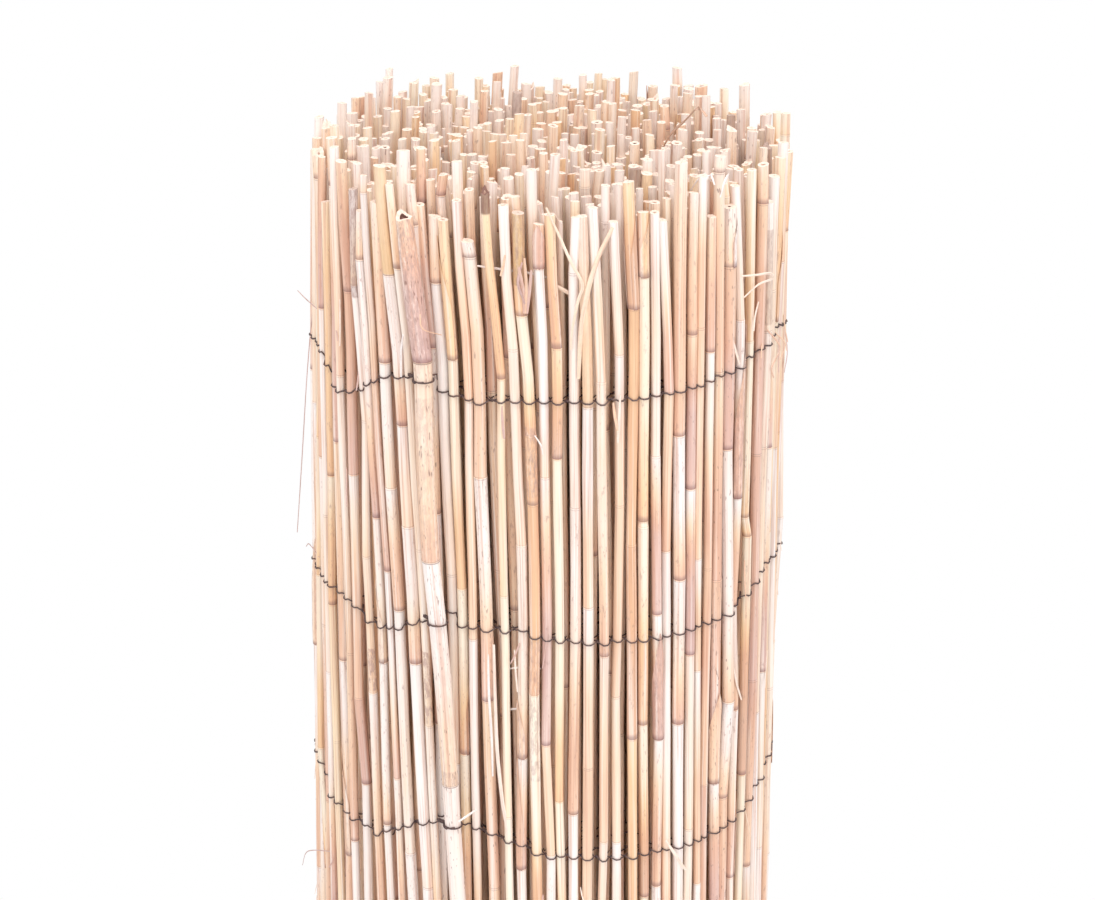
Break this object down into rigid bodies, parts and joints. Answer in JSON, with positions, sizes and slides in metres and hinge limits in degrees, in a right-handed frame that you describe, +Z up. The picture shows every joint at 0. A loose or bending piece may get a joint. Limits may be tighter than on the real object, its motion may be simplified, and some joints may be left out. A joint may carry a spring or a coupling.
{
  "type": "reed screening roll",
  "caption": "Screening mat of thin natural canes bound by rows of wire, rolled up and standing on end.",
  "frame": {"origin": "on the floor, under the middle of the roll's outline", "axes": "+Z up along the canes, -Y towards the side that faces the camera, +X to that side's right"},
  "size_m": [0.2993, 0.3009, 1.02],
  "materials": {
    "cane": "satin",
    "binding_wire": "matte"
  },
  "bodies": {
    "root": {"canes_turn_01": "cane", "canes_turn_02": "cane", "canes_turn_03": "cane", "canes_turn_04": "cane", "canes_turn_05": "cane", "canes_turn_06": "cane", "canes_turn_07": "cane", "canes_turn_08": "cane", "canes_turn_09": "cane", "canes_turn_10": "cane", "canes_turn_11": "cane", "canes_turn_12": "cane", "canes_turn_13": "cane", "canes_turn_14": "cane", "binding_wire_row_1": "binding_wire", "binding_wire_row_2": "binding_wire", "binding_wire_row_3": "binding_wire", "binding_wire_row_4": "binding_wire", "binding_wire_row_5": "binding_wire", "binding_wire_row_6": "binding_wire", "binding_wire_row_7": "binding_wire"}
  },
  "joints": []
}
